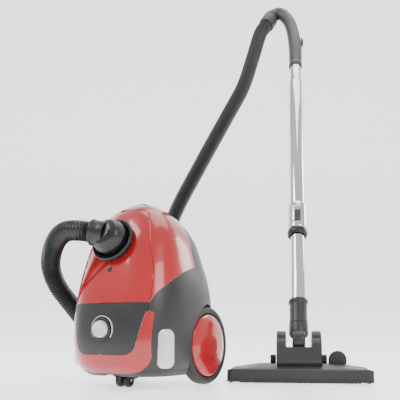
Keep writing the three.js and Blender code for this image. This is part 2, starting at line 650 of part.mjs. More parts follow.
// ---- floor head: upright frame below the ball, front face towards -Y ----
function makeHead() {
  const half = HEAD_WIDTH / 2;
  const z0 = 3;
  const side = [
    [-HEAD_FRONT, z0], [HEAD_BACK, z0], [HEAD_BACK, 30], [20, 42], [-20, 40], [-HEAD_FRONT + 4, HEAD_HEIGHT],
  ];
  const ends = new THREE.Shape();
  ends.moveTo(-half, z0);
  ends.lineTo(half, z0);
  ends.lineTo(half - 7, 27);
  ends.quadraticCurveTo(half - 10, 35, half - 28, 36);
  ends.lineTo(60, 46);
  ends.lineTo(-60, 46);
  ends.lineTo(-half + 28, 36);
  ends.quadraticCurveTo(-half + 10, 35, -half + 7, 27);
  let base = sidePrism(side, -half, half).intersect(frontPrism(ends, -90, 90));
  const cavity = sidePrism([
    [-HEAD_FRONT + 4, 0], [HEAD_BACK - 4, 0], [HEAD_BACK - 4, 26], [18, 36], [-20, 35], [-60, 26],
  ], -half + 12, half - 12);
  const pivotRoom = box(-47, 47, -47, 60, 26, 90);
  base = base.subtract(cavity.subtract(box(-200, 200, -90, 90, -5, z0))).subtract(pivotRoom);
  const pedalRoom = box(61, 100, -6, 50, 28, 60);
  base = base.subtract(pedalRoom).subtract(box(-61, -46, 5, 60, 28, 60)).subtract(box(46, 61, 5, 60, 28, 60));
  for (const s of [-1, 1]) {
    base = base.add(box(s * 138.5 - 3, s * 138.5 + 3, -50, 22, 0, z0 + 4));
  }
  add('head_base', largest(base), 'dark', headGroup);

  const soleBox = box(-half + 13, half - 13, -HEAD_FRONT + 6, HEAD_BACK - 6, z0, z0 + 3);
  const mouth = box(-half + 40, half - 40, -44, -26, 0, 10);
  let sole = soleBox.subtract(mouth);
  for (const y of [-56.5, 12.5]) {
    sole = sole.subtract(box(-half + 22, half - 22, y - 2.5, y + 2.5, 0, 10));
  }
  add('sole_plate', sole, 'steel', headGroup);
  for (const [y, name] of [[-56.5, 'front'], [12.5, 'rear']]) {
    add(`brush_strip_${name}`, box(-half + 24, half - 24, y - 1.8, y + 1.8, 0.4, 16), 'black', headGroup);
  }
  const hoodSide = [[-37, 29], [-44, 40], [-40, 66], [-24, 92], [28, 92], [36, 76], [36, 27], [-34, 27]];
  const hood = sidePrism(hoodSide, -46, 46);
  const wellSide = [[-27, 20], [-27, 58], [-31, 72], [-60, 72], [-60, 120], [60, 120], [60, 20]];
  const well = sidePrism(wellSide, -26, 26);
  const lugs = [-1, 1].map((s) => along(bar(4, -8, 8, 14), s * 22, 0, PIVOT.z));
  const cheeks = [-1, 1].map((s) => along(bar(22, -10, 10, 28), s * 36, 0, PIVOT.z));
  const stubs = [-1, 1].map((s) => along(bar(3, -7.5, 7.5, 12), s * 51.5, 20, 43));
  const hooded = hood.subtract(well).add(cheeks[0]).add(cheeks[1]).add(stubs[0]).add(stubs[1]);
  const ball = along(bar(BALL_RADIUS + 1, -14, 14, 32), 0, 0, PIVOT.z);
  const lugsCut = lugs[0].add(lugs[1]).subtract(along(bar(40, -13.6, 13.6, 20), 0, 0, PIVOT.z));
  add('head_hood', largest(hooded.add(lugsCut).subtract(ball)), 'dark', headGroup);
  for (const [s, name] of [[-1, 'left'], [1, 'right']]) {
    const roll = tube(13, 3.4, -6, 6, 20);
    add(`head_roller_${name}`, along(roll, s * 53.5, 20, 43), 'black', headGroup);
  }
  const paddle = new THREE.Shape();
  paddle.moveTo(62, 36);
  paddle.lineTo(99, 36);
  paddle.lineTo(99, 46);
  paddle.absarc(80.5, 46, 18.5, 0, Math.PI);
  const pedal = frontPrism(paddle, 2, 10).add(along(bar(4, 62, 99, 14), 0, 6, 36));
  add('brush_pedal', pedal, 'dark', headGroup);
}

// ---- hose: from the socket elbow, round the body's left side and up to the handle ----
const HOSE_ROUTE = [
  [-28.8, -112.8, 283.8], [-54, -120, 288], [-88, -119, 288], [-125, -106, 271], [-155, -86, 235],
  [-163, -58, 195], [-157, -16, 152], [-156, 47, 100], [-160, 110, 54], [-168, 170, 38],
  [-180, 230, 66], [-184, 282, 150], [-172, 315, 280], [-146, 345, 405],
  [-104, 403, 540], [-64, 472, 677], [-38, 523, 775], [-27, 562, 868],
];

function makeHose() {
  wandGroup.updateWorldMatrix(true, false);
  const top = new THREE.Vector3(COLLAR_TOP[0], 0, COLLAR_TOP[1]);
  const end = top.clone().addScaledVector(COLLAR_AIM, 39.5).applyMatrix4(wandGroup.matrixWorld);
  const lead = top.clone().addScaledVector(COLLAR_AIM, 75).applyMatrix4(wandGroup.matrixWorld);
  const points = HOSE_ROUTE.map(([x, y, z]) => new THREE.Vector3(x, y, z));
  const route = new THREE.CatmullRomCurve3([...points, lead, end]);
  const section = new THREE.Shape();
  section.absellipse(0, 0, HOSE_RADIUS, HOSE_RADIUS, 0, Math.PI * 2);
  const bore = new THREE.Path();
  bore.absellipse(0, 0, HOSE_RADIUS - HOSE_WALL, HOSE_RADIUS - HOSE_WALL, 0, Math.PI * 2, true);
  section.holes.push(bore);
  const sweep = { steps: 44, curveSegments: 5, bevelEnabled: false, extrudePath: route };
  add('hose_tube', solid(new THREE.ExtrudeGeometry(section, sweep)), 'black', group);
}

makeLid();
makePedals();
makeCasing();
makeFront();
makeSaddle();
makeSocket();
makeWheels();
makeCaster();
makeInside();
makeHandle();
makeTubes();
makeNeck();
makeHead();

headGroup.position.set(PIVOT.x, PIVOT.y, 0);
headGroup.rotation.z = WAND_HEADING;
wandGroup.position.z = PIVOT.z;
wandGroup.rotation.x = -WAND_LEAN;
headGroup.add(wandGroup);
group.add(canister, headGroup);
makeHose();

// The object is centred on its footprint, hose left out, and stands on the floor.
const footprint = new THREE.Box3();
group.updateMatrixWorld(true);
group.traverse((mesh) => {
  if (mesh.isMesh && mesh.name !== 'hose_tube') {
    footprint.expandByObject(mesh, true);
  }
});
const middle = footprint.getCenter(new THREE.Vector3());
group.position.set(-middle.x, -middle.y, -footprint.min.z);

export default group;
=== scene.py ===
"""Canister vacuum cleaner: the visual model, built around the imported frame."""
import bpy
import json
import math
import numpy as np
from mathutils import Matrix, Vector


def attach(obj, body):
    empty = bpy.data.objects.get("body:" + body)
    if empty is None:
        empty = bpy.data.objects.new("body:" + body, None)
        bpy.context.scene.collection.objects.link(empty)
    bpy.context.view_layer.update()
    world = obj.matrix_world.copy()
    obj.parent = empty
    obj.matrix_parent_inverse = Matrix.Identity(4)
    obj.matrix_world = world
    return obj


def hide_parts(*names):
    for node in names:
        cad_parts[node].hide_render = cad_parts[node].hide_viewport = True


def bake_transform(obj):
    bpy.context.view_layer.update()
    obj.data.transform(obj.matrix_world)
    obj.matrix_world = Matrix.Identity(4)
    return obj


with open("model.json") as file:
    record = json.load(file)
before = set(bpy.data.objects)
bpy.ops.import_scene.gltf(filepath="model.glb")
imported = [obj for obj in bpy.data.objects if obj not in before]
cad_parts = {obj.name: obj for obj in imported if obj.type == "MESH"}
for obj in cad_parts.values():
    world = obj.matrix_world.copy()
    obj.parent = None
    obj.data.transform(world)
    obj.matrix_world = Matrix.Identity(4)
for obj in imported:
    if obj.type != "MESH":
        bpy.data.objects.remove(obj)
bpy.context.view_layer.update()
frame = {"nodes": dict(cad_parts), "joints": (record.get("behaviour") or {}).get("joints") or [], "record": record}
MM = 0.001
JOINTS = {j["name"]: j for j in frame["joints"]}


def joint_at(name):
    return np.array(JOINTS[name]["pos_m"])


def joint_axis(name):
    axis = np.array(JOINTS[name]["axis"], float)
    return axis / np.linalg.norm(axis)


def basis(origin, z_axis, x_hint):
    """4x4 frame from an origin, a Z axis and a hint for X; units inside it are millimetres."""
    z = np.array(z_axis, float) / np.linalg.norm(z_axis)
    x = np.array(x_hint, float) - np.dot(x_hint, z) * z
    x /= np.linalg.norm(x)
    m = np.eye(4)
    m[:3, 0], m[:3, 1], m[:3, 2] = x * MM, np.cross(z, x) * MM, z * MM
    m[:3, 3] = origin
    return m


CASTER_TO_MIDDLE = 0.06  # metres back from the caster's swivel to the body's middle
BODY_FRAME = basis(joint_at("caster_swivel") * [1, 1, 0] + [0, CASTER_TO_MIDDLE, 0], [0, 0, 1], [1, 0, 0])
HEAD_PIVOT = joint_at("head_tilt")
HEAD_FRAME = basis(HEAD_PIVOT * [1, 1, 0], [0, 0, 1], joint_axis("head_tilt"))
WAND_FRAME = basis(HEAD_PIVOT, joint_axis("neck_swivel"), joint_axis("head_tilt"))
SOCKET_Y, SOCKET_Z = -81, 268
SOCKET_TILT = math.radians(24)
SOCKET_AXIS = np.array([0, -math.cos(SOCKET_TILT), math.sin(SOCKET_TILT)])


def placed(m, x, y, z):
    """A point given in millimetres in a frame, in metres."""
    return (m @ np.array([x, y, z, 1.0]))[:3]


SOCKET_FRAME = basis(placed(BODY_FRAME, 0, SOCKET_Y, SOCKET_Z), SOCKET_AXIS, [1, 0, 0])

# ---- camera and light ----
AZIMUTH = math.radians(30.5)
RIGHT = np.array([math.cos(AZIMUTH), math.sin(AZIMUTH), 0])
FORWARD = np.array([-math.sin(AZIMUTH), math.cos(AZIMUTH), 0])

CAMERA_ASIDE, CAMERA_BACK, CAMERA_HEIGHT = 0.115, 1.17, 0.0975


def make_camera():
    camera = bpy.data.objects.new("camera", bpy.data.cameras.new("camera"))
    bpy.context.scene.collection.objects.link(camera)
    at = BODY_FRAME[:3, 3] + CAMERA_ASIDE * RIGHT - CAMERA_BACK * FORWARD
    camera.location = (at[0], at[1], CAMERA_HEIGHT)
    camera.rotation_euler = (math.radians(90), 0, AZIMUTH)
    camera.data.sensor_width = 36
    camera.data.lens = 54
    camera.data.shift_y = 0.3375
    bpy.context.scene.camera = camera


def make_lights():
    world = bpy.data.worlds.new("studio")
    bpy.context.scene.world = world
    world.use_nodes = True
    sky = world.node_tree.nodes["Background"]
    sky.inputs[0].default_value = (1, 1, 1, 1)
    sky.inputs[1].default_value = 0.85
    lamps = [
        ("key", (-1.0, -1.4, 1.9), 26, 1.1), ("fill", (1.9, -1.1, 1.3), 18, 1.0),
        ("top", (0.1, 0.4, 2.4), 22, 1.6), ("rim", (1.2, 1.9, 1.4), 14, 0.8),
    ]
    for name, at, power, size in lamps:
        lamp = bpy.data.objects.new(name, bpy.data.lights.new(name, "AREA"))
        lamp.data.energy = power
        lamp.data.size = size
        lamp.location = at
        aim = Vector((0, 0, 0.25)) - Vector(at)
        lamp.rotation_euler = aim.to_track_quat("-Z", "Y").to_euler()
        bpy.context.scene.collection.objects.link(lamp)


def make_floor():
    """A wide floor that sweeps up into the backdrop in a quarter round."""
    u = np.linspace(0, 1, 40)
    bend = np.clip((u - 0.5) / 0.3, 0, 1) * math.pi / 2
    reach = np.where(u < 0.5, -4 + u * 14, 3 + 2 * np.sin(bend))
    high = np.where(u < 0.5, 0, 2 * (1 - np.cos(bend))) + np.clip(u - 0.8, 0, 1) * 25
    side = np.linspace(-9, 9, 3)
    spot = side[:, None, None] * RIGHT + reach[None, :, None] * FORWARD
    spot[..., 2] = high
    floor = surface("floor", spot, "backdrop", None)


# ---- materials ----
def tree_of(name):
    material = bpy.data.materials.new(name)
    material.use_nodes = True
    nodes, links = material.node_tree.nodes, material.node_tree.links
    return material, nodes, links, nodes["Principled BSDF"]


def noise(nodes, links, scale, detail=4, stretch=(1, 1, 1)):
    spot = nodes.new("ShaderNodeTexCoord")
    turn = nodes.new("ShaderNodeMapping")
    turn.inputs["Scale"].default_value = stretch
    cloud = nodes.new("ShaderNodeTexNoise")
    cloud.inputs["Scale"].default_value = scale
    cloud.inputs["Detail"].default_value = detail
    links.new(spot.outputs["Object"], turn.inputs["Vector"])
    links.new(turn.outputs["Vector"], cloud.inputs["Vector"])
    return cloud.outputs["Fac"]


def ramp(nodes, links, source, low, high, start=0.35, end=0.65):
    blend = nodes.new("ShaderNodeValToRGB")
    blend.color_ramp.elements[0].position = start
    blend.color_ramp.elements[1].position = end
    blend.color_ramp.elements[0].color = (*low, 1)
    blend.color_ramp.elements[1].color = (*high, 1)
    links.new(source, blend.inputs["Fac"])
    return blend.outputs["Color"]


def finish(name, colour, rough, grain=600, bump=0.05, metal=0.0, coat=0.0, spread=0.12,
           stretch=(1, 1, 1), sheen=0.0):
    """Moulded or drawn finish: soft tone drift, uneven roughness and a fine grain of real depth."""
    material, nodes, links, shader = tree_of(name)
    low = tuple(c * (1 - spread) for c in colour)
    high = tuple(min(c * (1 + spread), 1) for c in colour)
    drift = noise(nodes, links, 9, 3)
    links.new(ramp(nodes, links, drift, low, high), shader.inputs["Base Color"])
    fine = noise(nodes, links, grain, 3, stretch)
    patch = noise(nodes, links, 22, 5, stretch)
    dull = ramp(nodes, links, patch, (rough * 0.82,) * 3, (min(rough * 1.2, 1),) * 3)
    links.new(dull, shader.inputs["Roughness"])
    relief = nodes.new("ShaderNodeBump")
    relief.inputs["Strength"].default_value = bump
    relief.inputs["Distance"].default_value = 0.0004
    links.new(fine, relief.inputs["Height"])
    links.new(relief.outputs["Normal"], shader.inputs["Normal"])
    shader.inputs["Metallic"].default_value = metal
    shader.inputs["Coat Weight"].default_value = coat
    shader.inputs["Coat Roughness"].default_value = 0.04
    shader.inputs["Sheen Weight"].default_value = sheen
    return material


MATERIALS = {
    "red_gloss": finish("red_gloss", (0.42, 0.006, 0.01), 0.24, 900, 0.02, 0.1, 0.7, 0.08),
    "dark_plastic": finish("dark_plastic", (0.021, 0.021, 0.023), 0.4, 1800, 0.22),
    "black_plastic": finish("black_plastic", (0.009, 0.009, 0.01), 0.33, 1500, 0.1),
    "tyre": finish("tyre", (0.016, 0.016, 0.016), 0.5, 1200, 0.3),
    "silver_plastic": finish("silver_plastic", (0.72, 0.71, 0.73), 0.26, 1200, 0.03, 0.35, 0.5, 0.04),
    "chrome": finish("chrome", (0.74, 0.75, 0.77), 0.07, 500, 0.02, 1.0, 0.0, 0.04, (1, 1, 0.05)),
    "grey_plastic": finish("grey_plastic", (0.048, 0.048, 0.052), 0.38, 1500, 0.15),
    "steel": finish("steel", (0.45, 0.45, 0.47), 0.32, 500, 0.15, 1.0, 0.0, 0.1, (0.08, 1, 1)),
    "motor_iron": finish("motor_iron", (0.25, 0.24, 0.23), 0.5, 700, 0.3, 1.0),
    "hose_rubber": finish("hose_rubber", (0.013, 0.013, 0.014), 0.34, 1400, 0.12),
    "bristle": finish("bristle", (0.012, 0.012, 0.012), 0.7, 2500, 0.5, sheen=0.3),
    "paper": finish("paper", (0.62, 0.53, 0.38), 0.85, 900, 0.5),
    "filter": finish("filter", (0.12, 0.22, 0.15), 0.9, 1400, 0.8, sheen=0.2),
    "mark": finish("mark", (0.75, 0.75, 0.76), 0.5, 900, 0.05),
    "backdrop": finish("backdrop", (0.86, 0.86, 0.86), 0.3, 300, 0.01, spread=0.01),
}


# The backdrop glows a little, as a lit paper sweep does.
paper_sweep = MATERIALS["backdrop"].node_tree.nodes["Principled BSDF"]
paper_sweep.inputs["Emission Color"].default_value = (1, 1, 1, 1)
paper_sweep.inputs["Emission Strength"].default_value = 1.2


# ---- mesh tools ----
def make_object(name, verts, faces, material, body, angle=35):
    mesh = bpy.data.meshes.new(name)
    mesh.from_pydata([tuple(v) for v in verts], [], faces)
    mesh.validate()
    return as_object(name, mesh, material, body, angle)


def as_object(name, mesh, material, body, angle=35):
    piece = bpy.data.objects.new(name, mesh)
    bpy.context.scene.collection.objects.link(piece)
    mesh.materials.clear()
    mesh.materials.append(MATERIALS[material])
    soften(mesh, angle)
    if body:
        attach(piece, body)
    return piece


def soften(mesh, angle):
    mesh.polygons.foreach_set("use_smooth", [True] * len(mesh.polygons))
    mesh.set_sharp_from_angle(angle=math.radians(angle))


def grid_faces(rows, cols, wrap):
    """Quads of a rows x cols grid, closed round its columns if wrap is true."""
    last = cols if wrap else cols - 1
    i, k = np.meshgrid(np.arange(rows - 1), np.arange(last), indexing="ij")
    n = (k + 1) % cols
    quads = np.stack([i * cols + k, i * cols + n, (i + 1) * cols + n, (i + 1) * cols + k], -1)
    return [tuple(int(a) for a in q) for q in quads.reshape(-1, 4)]


def surface(name, points, material, body, wrap=False, caps=False, angle=35):
    rows, cols = points.shape[:2]
    faces = grid_faces(rows, cols, wrap)
    if caps:
        faces.append(tuple(range(cols))[::-1])
        faces.append(tuple(range((rows - 1) * cols, rows * cols)))
    return make_object(name, points.reshape(-1, 3), faces, material, body, angle)


def eased(profile, radius=0.8, steps=3):
    """Closed outline with each corner turned into a short arc, as a quadratic curve."""
    points = np.array(profile, float)
    out = []
    for i, p in enumerate(points):
        a, b = points[i - 1], points[(i + 1) % len(points)]
        la, lb = np.linalg.norm(a - p), np.linalg.norm(b - p)
        if p[0] == 0 or min(la, lb) < 1e-6:
            out.append(p)
            continue
        cut = min(radius, la * 0.4, lb * 0.4)
        start, end = p + (a - p) / la * cut, p + (b - p) / lb * cut
        for t in np.linspace(0, 1, steps + 1):
            out.append((1 - t) ** 2 * start + 2 * t * (1 - t) * p + t * t * end)
    return np.array(out)


def turned(name, profile, m, material, body, sides=96, radius=0.8, wave=None):
    """A closed [radius, height] outline turned about a frame's Z: x = r cos a, y = r sin a."""
    line = eased(profile, radius)
    a = np.linspace(0, 2 * math.pi, sides, endpoint=False)
    r = np.repeat(line[:, :1], sides, 1)
    if wave is not None:
        r = r + wave(line[:, :1], line[:, 1:2], a[None, :])
    z = np.repeat(line[:, 1:2], sides, 1)
    local = np.stack([r * np.cos(a), r * np.sin(a), z, np.ones_like(r)], -1)
    local = np.concatenate([local, local[:1]], 0)
    points = (local @ m.T)[..., :3]
    piece = surface(name, points, material, body, wrap=True)
    mend(piece)
    return piece


def mend(piece, angle=35):
    """Merge doubles and turn every face outwards."""
    import bmesh
    work = bmesh.new()
    work.from_mesh(piece.data)
    bmesh.ops.remove_doubles(work, verts=work.verts, dist=1e-6)
    bmesh.ops.dissolve_degenerate(work, edges=work.edges, dist=1e-7)
    bmesh.ops.recalc_face_normals(work, faces=work.faces)
    work.to_mesh(piece.data)
    work.free()
    soften(piece.data, angle)


def slab(name, outline, low, high, m, material, body, bevel=1.2, segments=3):
    """A flat outline in a frame's XY plane raised from low to high, with rounded edges."""
    flat = np.array(outline, float)
    n = len(flat)
    rings = [np.column_stack([flat, np.full(n, z), np.ones(n)]) for z in (low, high)]
    points = (np.stack(rings) @ m.T)[..., :3]
    piece = surface(name, points, material, body, wrap=True, caps=True)
    mend(piece)
    if bevel:
        round_edges(piece, bevel * MM, segments)
    return piece


def round_edges(piece, width, segments=3, angle=40):
    edge = piece.modifiers.new("edge", "BEVEL")
    edge.width = width
    edge.segments = segments
    edge.limit_method = "ANGLE"
    edge.angle_limit = math.radians(angle)
    edge.harden_normals = True


def rounded(half_x, half_y, radius, steps=8):
    """Corner points of a rounded rectangle."""
    out = []
    for cx, cy, start in ((1, -1, -90), (1, 1, 0), (-1, 1, 90), (-1, -1, 180)):
        for t in np.linspace(0, 90, steps):
            a = math.radians(start + t)
            out.append((cx * (half_x - radius) + radius * math.cos(a),
                        cy * (half_y - radius) + radius * math.sin(a)))
    return out


def carve(piece, tools, operation="DIFFERENCE"):
    """Boolean by each tool in turn, baked into the mesh; the tools are thrown away."""
    for tool in tools:
        step = piece.modifiers.new("carve", "BOOLEAN")
        step.operation = operation
        step.object = tool
        step.solver = "MANIFOLD"
    view = bpy.context.evaluated_depsgraph_get()
    mesh = bpy.data.meshes.new_from_object(piece.evaluated_get(view))
    piece.modifiers.clear()
    piece.data = mesh
    for tool in tools:
        bpy.data.objects.remove(tool)
    soften(mesh, 30)
    return piece


def smooth_line(points, count):
    """Uniform Catmull-Rom curve through the points, sampled at even lengths; also its length."""
    p = np.array(points, float)
    p = np.vstack([2 * p[0] - p[1], p, 2 * p[-1] - p[-2]])
    t = np.linspace(0, 1, 24, endpoint=False)[:, None]
    parts = []
    for i in range(1, len(p) - 2):
        a, b, c, d = p[i - 1], p[i], p[i + 1], p[i + 2]
        parts.append(0.5 * (2 * b + (c - a) * t + (2 * a - 5 * b + 4 * c - d) * t ** 2
                            + (3 * b - a - 3 * c + d) * t ** 3))
    line = np.vstack(parts + [p[-2:-1]])
    run = np.concatenate([[0], np.cumsum(np.linalg.norm(np.diff(line, axis=0), axis=1))])
    even = np.linspace(0, run[-1], count)
    return np.column_stack([np.interp(even, run, line[:, k]) for k in range(3)]), run[-1]


def sweep(line, radius, sides, up=(0, 0, 1), squash=1.0):
    """Rings of a given radius (a number or one per point) carried along a line without twist."""
    tangent = np.gradient(line, axis=0)
    tangent /= np.linalg.norm(tangent, axis=1)[:, None]
    side = np.cross(tangent[0], up)
    sides_all = []
    for t in tangent:
        side = side - np.dot(side, t) * t
        side /= np.linalg.norm(side)
        sides_all.append(side)
    s = np.array(sides_all)
    n = np.cross(tangent, s)
    a = np.linspace(0, 2 * math.pi, sides, endpoint=False)
    r = np.broadcast_to(np.asarray(radius, float).reshape(-1, 1), (len(line), 1))
    ring = s[:, None] * np.cos(a)[None, :, None] + squash * n[:, None] * np.sin(a)[None, :, None]
    return line[:, None] + r[:, :, None] * ring


# ---- hose ----
HOSE_POINTS = [
    [-28.8, -112.8, 283.8], [-54, -120, 288], [-88, -119, 288], [-125, -106, 271], [-155, -86, 235],
    [-163, -58, 195], [-157, -16, 152], [-156, 47, 100], [-160, 110, 54], [-168, 170, 38],
    [-180, 230, 66], [-184, 282, 150], [-172, 315, 280], [-146, 345, 405],
    [-104, 403, 540], [-64, 472, 677], [-38, 523, 775], [-27, 562, 868],
]
COLLAR_AIM = np.array([-0.42, 0, -0.91]) / np.linalg.norm([-0.42, 0, -0.91])
COLLAR_TOP = np.array([-66, 0, 1036.0])


def make_hose():
    """Corrugated hose: rings along the route whose radius rises and falls once every pitch."""
    route = [placed(BODY_FRAME, *p) for p in HOSE_POINTS]
    for reach in (76, 40.5):
        route.append(placed(WAND_FRAME, *(COLLAR_TOP + COLLAR_AIM * reach)))
    pitch = 0.0056
    _, length = smooth_line(route, 10)
    ribs = int(length / pitch)
    line, _ = smooth_line(route, ribs * 6 + 1)
    wave = np.cos(np.arange(len(line)) / 6 * 2 * math.pi)
    radius = 0.0172 + 0.0018 * np.sign(wave) * np.abs(wave) ** 0.6
    hose = surface("hose", sweep(line, radius, 36), "hose_rubber", None, wrap=True, caps=True, angle=60)
    mend(hose, 60)
    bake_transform(hose)
    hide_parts("hose_tube")


# ---- canister body ----
HALF_WIDTH, FRONT, REAR, HEIGHT, BOTTOM, PLATE_TOP = 116, 118, 156, 352, 22, 34
GAP, WALL, SEAM_Z = 0.4, 3, 155
HINGE_Y, HINGE_Z = -34, 334
EYE_Y, EYE_Z = -91, 214
AXLE_Y, WHEEL_RADIUS = 82, 77
CUP_X, TYRE_X = 77, 80  # inner faces of the wheel arch and of the tyre
KNOB_Y, KNOB_Z = -118.4, 108
FORM = np.array([
    [BOTTOM / HEIGHT, 0.78, 0.72, 0.86], [0.085, 0.85, 0.83, 0.92], [0.13, 0.92, 0.94, 0.97],
    [0.22, 0.98, 1, 1], [0.33, 1, 0.99, 1], [0.44, 0.995, 0.94, 0.99], [0.56, 0.96, 0.86, 0.95],
    [0.68, 0.88, 0.76, 0.86], [0.79, 0.79, 0.64, 0.76], [0.875, 0.65, 0.5, 0.62],
    [0.935, 0.48, 0.36, 0.46], [0.975, 0.3, 0.2, 0.3], [1, 0.08, 0.04, 0.1],
])
RIDGE = [[-90, SEAM_Z], [-75, 213], [-65, 266], [-48, 306], [-35, 326], [-35, 400]]
SKIRT = [[-90, SEAM_Z], [-75, 176], [-33, 205], [31, 227]]
REAR_EDGE = [[31, 227], [31, 263], [38, 308], [34, 400]]


def form_rows(count):
    """Height and reaches of the body's rows: smooth curves through the form's chosen rows."""
    t = np.linspace(0, len(FORM) - 1, count)
    ext = np.vstack([2 * FORM[0] - FORM[1], FORM, 2 * FORM[-1] - FORM[-2]])
    i = np.minimum(t.astype(int), len(FORM) - 2)
    u = (t - i)[:, None]
    a, b, c, d = ext[i], ext[i + 1], ext[i + 2], ext[i + 3]
    return 0.5 * (2 * b + (c - a) * u + (2 * a - 5 * b + 4 * c - d) * u ** 2
                  + (3 * b - a - 3 * c + d) * u ** 3)


def body_grid(inset, around=176, steps=110, dress=None):
    """Superellipse rows: x = half |cos|^(2/n), y = reach |sin|^(2/n), n falling from 3 to 2.2."""
    rows = form_rows(steps)
    share = np.linspace(0, 1, steps)[:, None]
    z = rows[:, :1] * HEIGHT + inset * (1 - 2 * share)
    a = np.linspace(0, 2 * math.pi, around, endpoint=False)[None, :]
    n = 3 - 0.8 * share
    reach = np.where(np.sin(a) < 0, rows[:, 2:3] * FRONT, rows[:, 3:4] * REAR)
    x = (rows[:, 1:2] * HALF_WIDTH - inset) * np.sign(np.cos(a)) * np.abs(np.cos(a)) ** (2 / n)
    y = (reach - inset) * np.sign(np.sin(a)) * np.abs(np.sin(a)) ** (2 / n)
    z = np.broadcast_to(z, x.shape)
    if dress is not None:
        depth = dress(x, y, z)
        x, y = x * (1 - depth / HALF_WIDTH), y * (1 - depth / FRONT)
    return np.stack([x, y, z], -1)


def step_up(v):
    """Smooth step from 0 to 1: v * v * (3 - 2 v), held at its ends."""
    v = np.clip(v, 0, 1)
    return v * v * (3 - 2 * v)


def shield_dress(x, y, z):
    """The front shield's facet: a shallow scoop left of a line that climbs to the socket."""
    line = 172 + 62 * step_up((x + 92) / 112)
    facet = step_up((z - line) / 5) * step_up((14 - x) / 26) * (y < 0)
    crown = step_up((z - 262) / 10) * step_up((300 - z) / 14) * facet
    rim = step_up((y + 20) / 30)
    return 2.2 * facet * (1 - rim) - 0.8 * crown


def to_world(points, m):
    """Points given in a frame's millimetres, carried into metres."""
    flat = np.concatenate([points, np.ones(points.shape[:-1] + (1,))], -1)
    return (flat @ m.T)[..., :3]


def make_shell(name, material, body, dress=None):
    """The whole body's form as a wall: its outer skin and the same rows drawn in by the wall."""
    outer = to_world(body_grid(0, dress=dress), BODY_FRAME)
    inner = to_world(body_grid(WALL, 88, 50), BODY_FRAME)
    n, rows, cols = outer.shape[0] * outer.shape[1], *outer.shape[:2]
    faces = grid_faces(rows, cols, True)
    faces += [tuple(range(cols))[::-1], tuple(range((rows - 1) * cols, n))]
    r2, c2 = inner.shape[:2]
    inside = grid_faces(r2, c2, True) + [tuple(range(c2))[::-1], tuple(range((r2 - 1) * c2, r2 * c2))]
    faces += [tuple(n + v for v in f[::-1]) for f in inside]
    verts = np.vstack([outer.reshape(-1, 3), inner.reshape(-1, 3)])
    return make_object(name, verts, faces, material, body, 30)


def prism(outline, low, high, plane, m=None):
    """A throwaway cutting block: a side-view [y, z] or front-view [x, z] outline, pushed through."""
    flat = np.array(outline, float)
    rings = []
    for reach in (low, high):
        fill = np.full(len(flat), reach)
        cols = {"side": (fill, flat[:, 0], flat[:, 1]), "front": (flat[:, 0], fill, flat[:, 1]),
                "top": (flat[:, 0], flat[:, 1], fill)}[plane]
        rings.append(np.column_stack(cols))
    block = surface("cutter", to_world(np.stack(rings), BODY_FRAME if m is None else m),
                    "mark", None, wrap=True, caps=True)
    mend(block)
    return block


def block(x0, x1, y0, y1, z0, z1, m=None):
    return prism([(x0, y0), (x1, y0), (x1, y1), (x0, y1)], z0, z1, "top", m)


def rod(radius, low, high, m, sides=64):
    a = np.linspace(0, 2 * math.pi, sides, endpoint=False)
    return prism(np.column_stack([radius * np.cos(a), radius * np.sin(a)]), low, high, "top", m)


def curve_side(points):
    """A smooth side-view seam through the chosen points, ends kept."""
    line, _ = smooth_line([[p[0], p[1], 0] for p in points], 26)
    return [tuple(p[:2]) for p in line]


RIDGE_LINE = curve_side(RIDGE[:5]) + [(-35, 400)]
SKIRT_LINE = curve_side(SKIRT)
REAR_LINE = curve_side(REAR_EDGE[:3]) + [(34, 400)]


def lid_zone(gap):
    """All in front of the ridge and above the lid's seam."""
    back = [(y - gap, z) for y, z in RIDGE_LINE]
    return prism([(-160, SEAM_Z + gap)] + back + [(-160, 400)], -150, 150, "side")


def saddle_zone(gap):
    """Between the ridge and the rear edge, above the skirt."""
    low = [(min(y + 0.3 * gap, 31 - gap), z + 1.6 * gap) for y, z in SKIRT_LINE]
    rear = [(y - gap, z) for y, z in REAR_LINE[1:]]
    front = [(y + (3.5 * gap if z > 320 else gap), z) for y, z in RIDGE_LINE[:0:-1]]
    return prism(low + rear + front, -150, 150, "side")


def side_frame(x, y, z, axis=(1, 0, 0), hint=(0, 1, 0)):
    return basis(placed(BODY_FRAME, x, y, z), axis, hint)


PEDAL_ANGLE = math.radians(57)
PEDAL_HALF = (16, 35)
PEDAL_REACH, PEDAL_Z = 123, 73


def pedal_frame(side):
    facing = np.array([side * math.sin(PEDAL_ANGLE), -math.cos(PEDAL_ANGLE), 0])
    across = np.cross([0, 0, 1], facing)
    middle = placed(BODY_FRAME, facing[0] * PEDAL_REACH, facing[1] * PEDAL_REACH, PEDAL_Z)
    return basis(middle, facing, across)


def pedal_block(side, half_x, half_y, low, high):
    return prism(rounded(half_x, half_y, half_x * 0.8, 10), low, high, "top", pedal_frame(side))


def trim_outline(grow=0.0):
    """The U trim in front view: two rounded arms joined by a broad foot of quadratic arcs."""
    def quad(a, b, c):
        t = np.linspace(0, 1, 10)[:, None]
        arc = (1 - t) ** 2 * np.array(a) + 2 * t * (1 - t) * np.array(b) + t * t * np.array(c)
        return [tuple(p) for p in arc]
    g = grow
    right = quad((40, 28 - g), (80 + g, 30 - g), (88 + g, 60)) + [(91.8 + g, 128)]
    right += quad((92 + g, 131), (92 + g, 140 + g), (86, 140 + g))
    right += quad((86, 140 + g), (80 - g, 140 + g), (79 - g, 131))[1:]
    right += [(67.5 - g, 82)] + quad((67 - g, 80), (62 - g, 62 + g), (40, 62 + g))
    return right + [(-x, z) for x, z in right[::-1]]


